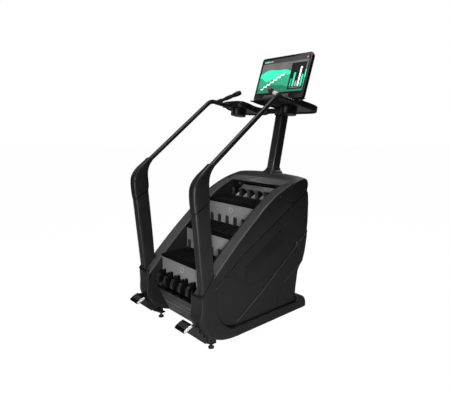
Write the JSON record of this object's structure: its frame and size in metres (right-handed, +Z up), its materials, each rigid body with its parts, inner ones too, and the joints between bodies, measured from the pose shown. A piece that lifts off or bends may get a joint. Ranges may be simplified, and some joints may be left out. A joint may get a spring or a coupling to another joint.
{
  "type": "stair climber",
  "caption": "Free-standing gym stair climber: hinged treads and risers on a chain loop in a moulded housing, with handrails, cup trays and a screen on a mast.",
  "frame": {"origin": "middle of the footprint at floor level", "axes": "+X to the user's right when facing the screen, +Y from the entry towards the screen, +Z up"},
  "size_m": [0.85, 1.4768, 2.2258],
  "materials": {
    "frame_black": "satin black powder coat",
    "satin_black_metal": "satin black powder coat with a soft sheen",
    "moulded_black": "fine textured black moulding",
    "charcoal_panel": "satin charcoal moulding",
    "stringer_charcoal": "satin charcoal moulding",
    "tread_black": "ribbed black tread",
    "riser_grey": "mid grey moulding",
    "kick_grey": "dark grey moulding",
    "chain_steel": "oiled steel",
    "belt_rubber": "ribbed belt",
    "cast_housing": "cast housing",
    "grip_rubber": "soft moulded rubber",
    "sensor_steel": "polished contact sleeve",
    "pad_cap_grey": "light grey plastic",
    "button_red": "satin red",
    "key_grey": "soft keys",
    "screen_frame": "semi-gloss black",
    "screen_glass": "display behind a clear front",
    "foot_steel": "zinc plated steel"
  },
  "bodies": {
    "frame": {"base_frame": "frame_black", "boots": "moulded_black", "cheeks": "moulded_black", "console_back": "moulded_black", "console_bezel": "screen_frame", "console_shelf": "moulded_black", "control_box": "moulded_black", "cup_holders": "moulded_black", "display_glass": "screen_glass", "drive_belt": "belt_rubber", "elbows": "moulded_black", "entry_pads": "grip_rubber", "foot_brackets": "frame_black", "generator_brake": "cast_housing", "grips": "grip_rubber", "handrails": "satin_black_metal", "key_strip": "pad_cap_grey", "kick_plate": "kick_grey", "mast": "satin_black_metal", "mast_collar": "moulded_black", "mast_head": "frame_black", "pad_caps": "pad_cap_grey", "pulse_sensors": "sensor_steel", "rear_base_cover": "charcoal_panel", "rear_cover": "moulded_black", "side_panels": "charcoal_panel", "side_plates": "frame_black", "skirts": "charcoal_panel", "stringers": "stringer_charcoal", "top_cover": "stringer_charcoal", "trays": "moulded_black", "uprights": "satin_black_metal"},
    "front_run": {"riser_1": "riser_grey", "riser_2": "riser_grey", "riser_3": "riser_grey", "tread_1": "tread_black", "tread_2": "tread_black", "tread_3": "tread_black", "front_chains": "chain_steel"},
    "upper_turn": {"upper_shaft": "chain_steel", "drive_pulley": "chain_steel", "tread_4": "tread_black"},
    "lower_turn": {"lower_shaft": "chain_steel"},
    "return_run": {"return_run": "chain_steel"},
    "riser_4": {"riser_4": "riser_grey"},
    "riser_5": {"riser_5": "riser_grey"},
    "tread_5": {"tread_5": "tread_black"},
    "riser_8": {"riser_8": "riser_grey"},
    "tread_8": {"tread_8": "tread_black"},
    "brake": {"brake_pulley": "chain_steel"},
    "wheels": {"transport_wheels": "grip_rubber"},
    "front_foot_r": {"front_foot_r": "foot_steel"},
    "front_foot_l": {"front_foot_l": "foot_steel"},
    "rear_foot_r": {"rear_foot_r": "foot_steel"},
    "rear_foot_l": {"rear_foot_l": "foot_steel"},
    "grip_button_r": {"grip_button_r": "button_red"},
    "grip_button_l": {"grip_button_l": "button_red"},
    "key_1": {"key_1": "key_grey"},
    "key_2": {"key_2": "key_grey"}
  },
  "joints": [
    {"name": "stairs", "type": "slide", "parent": "frame", "child": "front_run", "axis": [0, -0.7788, -0.6273], "range_m": [0, 0.03]},
    {"name": "return", "type": "slide", "parent": "frame", "child": "return_run", "axis": [0, 0.8486, 0.529], "range_m": [0, 0.031]},
    {"name": "upper_turn", "type": "hinge", "parent": "frame", "child": "upper_turn", "pos_m": [0, 0.34796, 0.87547], "axis": [1, 0, 0], "range_deg": [0, 13.52]},
    {"name": "lower_turn", "type": "hinge", "parent": "frame", "child": "lower_turn", "pos_m": [0, -0.46281, 0.29939], "axis": [1, 0, 0], "range_deg": [0, 24.86]},
    {"name": "riser_4_hinge", "type": "hinge", "parent": "front_run", "child": "riser_4", "pos_m": [0, 0.28113, 0.987], "axis": [1, 0, 0], "range_deg": [0, 13.93]},
    {"name": "riser_5_hinge", "type": "hinge", "parent": "upper_turn", "child": "riser_5", "pos_m": [0, 0.46873, 0.8274], "axis": [1, 0, 0], "range_deg": [-8.49, 0]},
    {"name": "tread_5_hinge", "type": "hinge", "parent": "return_run", "child": "tread_5", "pos_m": [0, 0.22483, 0.6456], "axis": [1, 0, 0], "range_deg": [0, 3.51]},
    {"name": "riser_8_hinge", "type": "hinge", "parent": "return_run", "child": "riser_8", "pos_m": [0, -0.29887, 0.3191], "axis": [1, 0, 0], "range_deg": [0, 4.34]},
    {"name": "tread_8_hinge", "type": "hinge", "parent": "front_run", "child": "tread_8", "pos_m": [0, -0.47557, 0.379], "axis": [1, 0, 0], "range_deg": [0, 15.75]},
    {"name": "brake_turn", "type": "hinge", "parent": "frame", "child": "brake", "pos_m": [0.34, 0.17343, 0.33], "axis": [1, 0, 0], "range_deg": [0, 49.88]},
    {"name": "front_foot_r_turn", "type": "hinge", "parent": "frame", "child": "front_foot_r", "pos_m": [0.338, -0.46657, 0.02], "axis": [0, 0, 1], "continuous": true},
    {"name": "front_foot_l_turn", "type": "hinge", "parent": "frame", "child": "front_foot_l", "pos_m": [-0.338, -0.46657, 0.02], "axis": [0, 0, 1], "continuous": true},
    {"name": "rear_foot_r_turn", "type": "hinge", "parent": "frame", "child": "rear_foot_r", "pos_m": [0.262, 0.45343, 0.02], "axis": [0, 0, 1], "continuous": true},
    {"name": "rear_foot_l_turn", "type": "hinge", "parent": "frame", "child": "rear_foot_l", "pos_m": [-0.262, 0.45343, 0.02], "axis": [0, 0, 1], "continuous": true},
    {"name": "wheels_turn", "type": "hinge", "parent": "frame", "child": "wheels", "pos_m": [0.309, 0.49143, 0.042], "axis": [1, 0, 0], "continuous": true},
    {"name": "grip_button_r_press", "type": "slide", "parent": "frame", "child": "grip_button_r", "axis": [0.2968, -0.1209, 0.9473], "range_m": [-0.0012, 0], "stiffness_N_per_m": 400, "springref_m": 0.002},
    {"name": "grip_button_l_press", "type": "slide", "parent": "frame", "child": "grip_button_l", "axis": [-0.2968, -0.1209, 0.9473], "range_m": [-0.0012, 0], "stiffness_N_per_m": 400, "springref_m": 0.002},
    {"name": "key_1_press", "type": "slide", "parent": "frame", "child": "key_1", "axis": [0, 0.9455, -0.3256], "range_m": [0, 0.0015], "stiffness_N_per_m": 400, "springref_m": -0.002},
    {"name": "key_2_press", "type": "slide", "parent": "frame", "child": "key_2", "axis": [0, 0.9455, -0.3256], "range_m": [0, 0.0015], "stiffness_N_per_m": 400, "springref_m": -0.002}
  ],
  "couplings": [
    {"joint": "return", "follows": "stairs", "ratio": 1},
    {"joint": "upper_turn", "follows": "stairs", "rad_per_m": 7.6923},
    {"joint": "lower_turn", "follows": "stairs", "rad_per_m": 14.286},
    {"joint": "brake_turn", "follows": "stairs", "rad_per_m": 28.846},
    {"joint": "riser_4_hinge", "follows": "stairs", "rad_per_m": 7.932},
    {"joint": "riser_5_hinge", "follows": "stairs", "rad_per_m": -4.762},
    {"joint": "tread_5_hinge", "follows": "stairs", "rad_per_m": 1.869},
    {"joint": "riser_8_hinge", "follows": "stairs", "rad_per_m": 2.353},
    {"joint": "tread_8_hinge", "follows": "stairs", "rad_per_m": 8.986}
  ]
}
